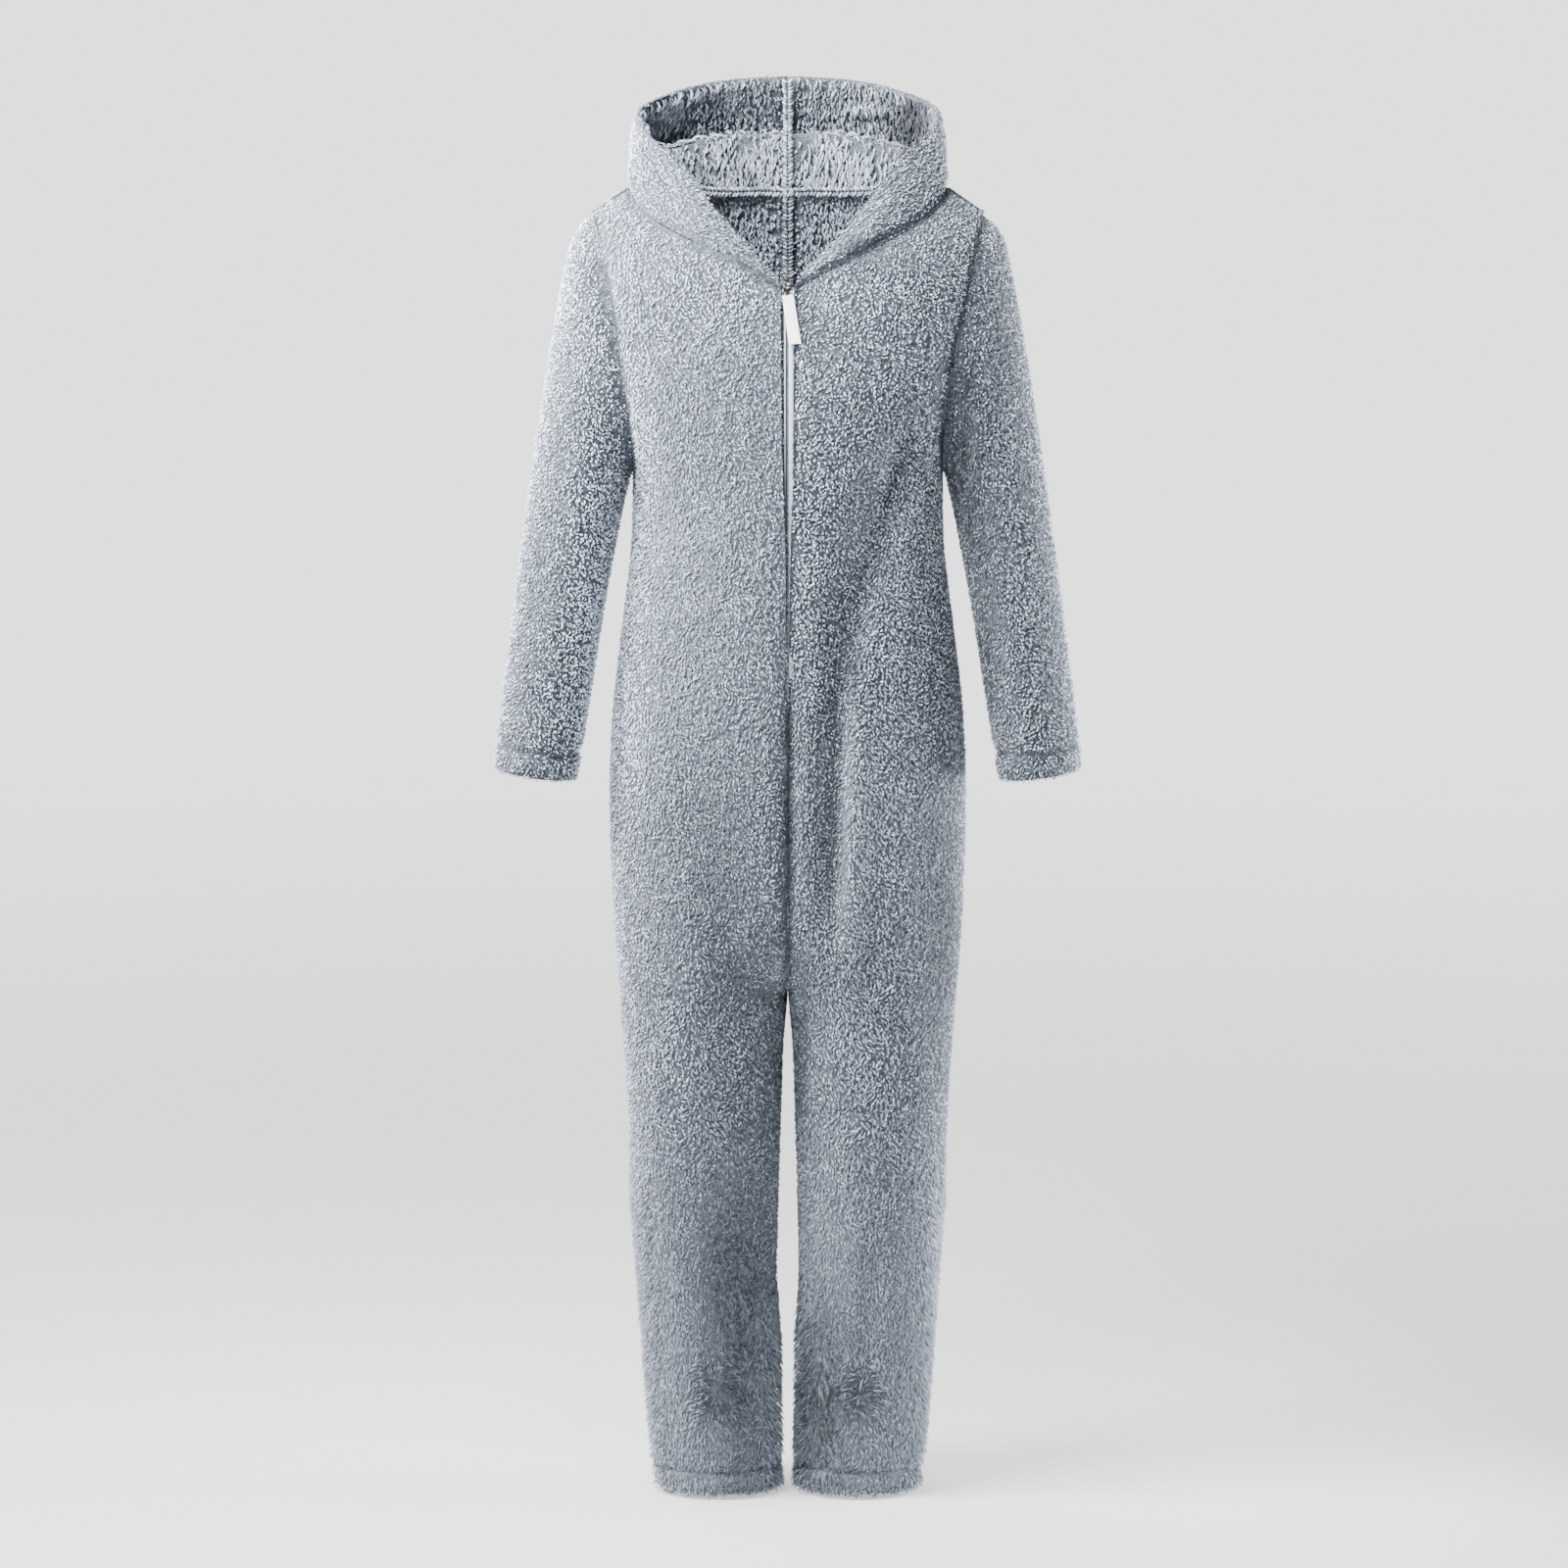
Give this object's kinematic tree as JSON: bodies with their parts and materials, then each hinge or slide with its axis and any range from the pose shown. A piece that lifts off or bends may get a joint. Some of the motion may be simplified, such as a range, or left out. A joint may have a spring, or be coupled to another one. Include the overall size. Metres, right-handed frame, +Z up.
{
  "type": "onesie pajama",
  "caption": "Hooded plush onesie pajama in its filled-out worn shape, with long sleeves, straight legs, a front zip with a hinged pull, and the hood folded down behind an open neck.",
  "frame": {"origin": "between the shoulders, level with the outer ends of the shoulder seams and on the side seams' plane, where the wearer's shoulders carry the garment", "axes": "+Z up, from the leg hems to the hood; the wearer faces -Y; +X is the wearer's left"},
  "size_m": [0.653, 0.3248, 1.5713],
  "materials": {
    "plush": "blue-grey sherpa plush, curly pile on both faces, soft sheen",
    "zip_tape": "pale woven tape with a moulded coil",
    "zip_metal": "plated metal, slightly dulled",
    "pull_strap": "white folded ribbon, fine rib, satin"
  },
  "bodies": {
    "garment": {"front_left": "plush", "front_right": "plush", "back_left": "plush", "back_right": "plush", "sleeve_left": "plush", "sleeve_right": "plush", "hood_left": "plush", "hood_right": "plush", "zip_tape_left": "zip_tape", "zip_tape_right": "zip_tape", "zip_slider": "zip_metal"},
    "pull": {"pull_link": "zip_metal", "pull_tab": "pull_strap"}
  },
  "joints": [
    {"name": "pull_hinge", "type": "hinge", "parent": "garment", "child": "pull", "pos_m": [0, -0.08804, -0.07941], "axis": [-1, 0, 0], "range_deg": [0, 140]}
  ]
}
